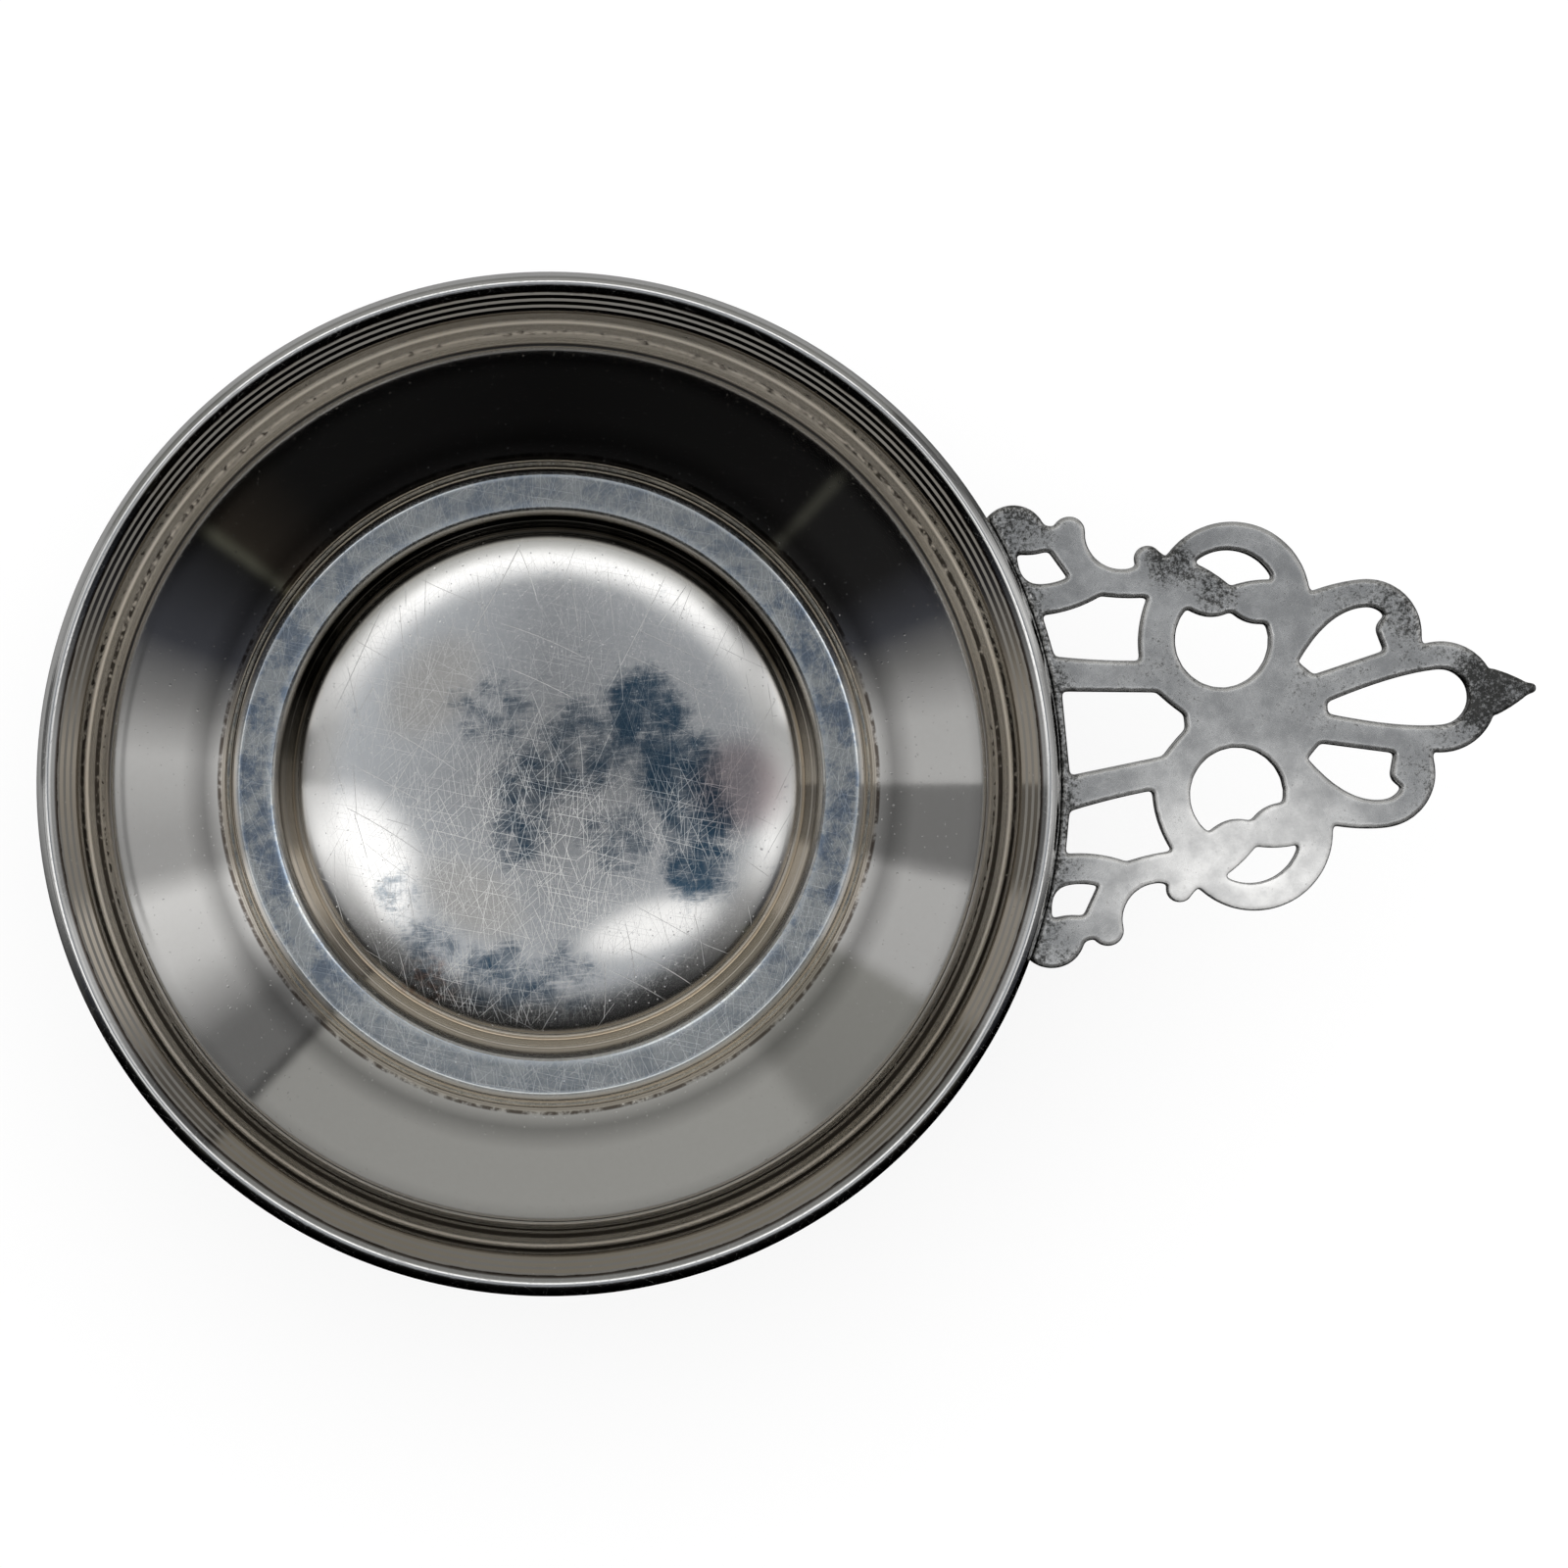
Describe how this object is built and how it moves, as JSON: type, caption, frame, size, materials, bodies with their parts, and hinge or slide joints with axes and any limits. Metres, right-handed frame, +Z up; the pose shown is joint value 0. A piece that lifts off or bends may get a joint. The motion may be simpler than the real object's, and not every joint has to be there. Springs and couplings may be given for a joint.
{
  "type": "porringer",
  "caption": "Shallow round silver porringer with a domed base, a bellied side, a wired lip and one flat pierced handle.",
  "frame": {"origin": "on the table, under the middle of the whole length, which is between the bowl's axis and the handle", "axes": "+X from the bowl out along the handle, +Z up out of the bowl, +Y to the side"},
  "size_m": [0.1764, 0.12, 0.042],
  "materials": {
    "bowl_silver": "polished silver, finely scratched, grey-brown in the creases",
    "wire_silver": "polished silver, worn",
    "handle_silver": "satin cast silver with soft edges and dark mottled tarnish",
    "solder": "dull dark silver solder"
  },
  "bodies": {
    "root": {"bowl": "bowl_silver", "rim_wire": "wire_silver", "handle": "handle_silver", "handle_solder": "solder"}
  },
  "joints": []
}
